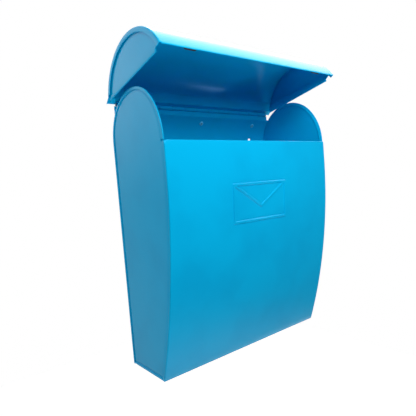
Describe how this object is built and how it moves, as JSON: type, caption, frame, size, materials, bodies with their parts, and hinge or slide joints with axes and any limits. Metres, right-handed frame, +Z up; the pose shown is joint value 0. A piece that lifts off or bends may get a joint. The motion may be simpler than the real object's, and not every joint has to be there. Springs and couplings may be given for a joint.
{
  "type": "mailbox",
  "caption": "Wall-hung sheet-steel mailbox with a curved tapering front, a wide mouth and a domed lid on a hinge along the wall side.",
  "frame": {"origin": "middle of the four wall-screw holes, on the wall plane", "axes": "+Z up, +Y into the wall, so the front faces -Y; +X to the right of a person facing the wall"},
  "size_m": [0.308, 0.1457, 0.4192],
  "materials": {
    "powder_coat": "gloss powder coat, bright blue",
    "hinge_steel": "bare steel wire",
    "bumper_rubber": "matt dark rubber"
  },
  "bodies": {
    "box": {"back_panel": "powder_coat", "left_side": "powder_coat", "right_side": "powder_coat", "front_panel": "powder_coat", "bottom_panel": "powder_coat", "hinge_fixed_leaf": "powder_coat", "hinge_pin": "hinge_steel", "hinge_rivet_left": "powder_coat", "hinge_rivet_centre": "powder_coat", "hinge_rivet_right": "powder_coat"},
    "lid": {"lid_cover": "powder_coat", "lid_left_cheek": "powder_coat", "lid_right_cheek": "powder_coat", "hinge_moving_leaf": "powder_coat", "lid_bumper_left": "bumper_rubber", "lid_bumper_right": "bumper_rubber"}
  },
  "joints": [
    {"name": "lid_hinge", "type": "hinge", "parent": "box", "child": "lid", "pos_m": [0, -0.01188, 0.16793], "axis": [-1, 0, 0], "range_deg": [-45.9, 36]}
  ]
}
